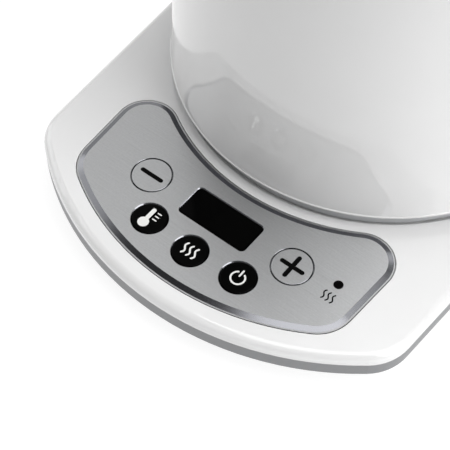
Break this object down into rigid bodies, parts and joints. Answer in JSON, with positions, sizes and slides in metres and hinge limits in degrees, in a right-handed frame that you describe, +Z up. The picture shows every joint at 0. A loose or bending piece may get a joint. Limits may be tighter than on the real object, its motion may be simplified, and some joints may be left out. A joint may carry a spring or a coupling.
{
  "type": "electric kettle with temperature-control base",
  "caption": "Cordless electric kettle with a double-walled body, hinged lid, spout and loop handle, standing on a base with a key panel and digit display.",
  "frame": {"origin": "on the kettle's vertical axis, in the plane of the undersides of the rubber feet", "axes": "+Z up, front of the base with the key panel towards -Y, handle towards +X, spout towards -X"},
  "size_m": [0.2007, 0.2102, 0.2088],
  "materials": {
    "white_gloss": "moulded, high gloss",
    "grey_shell": "moulded, satin",
    "cover_grey": "moulded, satin",
    "dark_plastic": "moulded, fine matt",
    "black_key": "moulded, gloss",
    "panel_metal": "brushed, bright bevel",
    "smoked_window": "polished acrylic",
    "light_diffuser": "moulded, matt",
    "circuit_board": "solder mask",
    "transformer_wrap": "wound tape",
    "capacitor_sleeve": "shrink sleeve",
    "contact_brass": "stamped",
    "pale_acetal": "moulded, satin",
    "vessel_steel": "drawn and brushed",
    "aluminium_plate": "rolled",
    "steel": "zinc plated",
    "rubber": "moulded, matt",
    "silicone": "moulded, translucent white",
    "soft_grip": "moulded soft grip",
    "button_grey": "moulded, satin"
  },
  "bodies": {
    "base": {"base_top_cover": "white_gloss", "base_skirt": "grey_shell", "base_bottom_plate": "grey_shell", "foot_ring": "rubber", "front_feet": "rubber", "base_screws": "steel", "cord_gland": "rubber", "panel_plate": "panel_metal", "display_window": "smoked_window", "display_module": "light_diffuser", "heating_indicator": "smoked_window", "control_board": "circuit_board", "key_switches": "dark_plastic", "buzzer": "dark_plastic", "power_board": "circuit_board", "relay": "dark_plastic", "supply_transformer": "transformer_wrap", "smoothing_capacitor": "capacitor_sleeve", "base_connector": "dark_plastic", "base_contacts": "contact_brass"},
    "minus_key": {"minus_key": "panel_metal"},
    "plus_key": {"plus_key": "panel_metal"},
    "temperature_key": {"temperature_key": "black_key"},
    "heat_key": {"heat_key": "black_key"},
    "power_key": {"power_key": "black_key"},
    "coupler_ring": {"coupler_ring": "pale_acetal"},
    "kettle": {"outer_shell": "white_gloss", "vessel_wall": "vessel_steel", "vessel_floor": "vessel_steel", "heating_plate": "aluminium_plate", "heating_element": "aluminium_plate", "kettle_bottom_cover": "cover_grey", "kettle_connector": "dark_plastic", "kettle_contacts": "contact_brass", "temperature_sensor": "vessel_steel", "thermal_cutouts": "dark_plastic", "vessel_seal": "silicone", "rim_collar": "white_gloss", "spout": "white_gloss", "spout_filter": "pale_acetal", "handle_body": "white_gloss", "handle_grip": "soft_grip", "handle_screws": "steel", "lid_hinge_pin": "steel"},
    "lid": {"lid_cover": "white_gloss", "lid_liner": "vessel_steel", "lid_screws": "steel", "lid_seal": "silicone", "button_spring": "steel"},
    "lid_button": {"lid_button": "button_grey"},
    "lid_latch": {"lid_latch": "dark_plastic"}
  },
  "joints": [
    {"name": "minus_key_press", "type": "slide", "parent": "base", "child": "minus_key", "axis": [0, 0, -1], "range_m": [0, 0.0005], "stiffness_N_per_m": 600, "springref_m": -0.0012},
    {"name": "plus_key_press", "type": "slide", "parent": "base", "child": "plus_key", "axis": [0, 0, -1], "range_m": [0, 0.0005], "stiffness_N_per_m": 600, "springref_m": -0.0012},
    {"name": "temperature_key_press", "type": "slide", "parent": "base", "child": "temperature_key", "axis": [0, 0, -1], "range_m": [0, 0.0005], "stiffness_N_per_m": 600, "springref_m": -0.0012},
    {"name": "heat_key_press", "type": "slide", "parent": "base", "child": "heat_key", "axis": [0, 0, -1], "range_m": [0, 0.0005], "stiffness_N_per_m": 600, "springref_m": -0.0012},
    {"name": "power_key_press", "type": "slide", "parent": "base", "child": "power_key", "axis": [0, 0, -1], "range_m": [0, 0.0005], "stiffness_N_per_m": 600, "springref_m": -0.0012},
    {"name": "kettle_turn", "type": "hinge", "parent": "base", "child": "coupler_ring", "pos_m": [0, 0, 0.0168], "axis": [0, 0, 1], "continuous": true},
    {"name": "kettle_lift", "type": "slide", "parent": "coupler_ring", "child": "kettle", "axis": [0, 0, 1], "range_m": [0, 0.12]},
    {"name": "lid_open", "type": "hinge", "parent": "kettle", "child": "lid", "pos_m": [0.0534, 0, 0.203], "axis": [0, 1, 0], "range_deg": [0, 80]},
    {"name": "lid_button_press", "type": "slide", "parent": "lid", "child": "lid_button", "axis": [0, 0, -1], "range_m": [0, 0.0025], "stiffness_N_per_m": 500, "springref_m": -0.004, "deforming": ["button_spring"]},
    {"name": "lid_latch_draw", "type": "slide", "parent": "lid", "child": "lid_latch", "axis": [1, 0, 0], "range_m": [0, 0.0025]}
  ],
  "couplings": [
    {"joint": "lid_latch_draw", "follows": "lid_button_press", "ratio": 1}
  ]
}
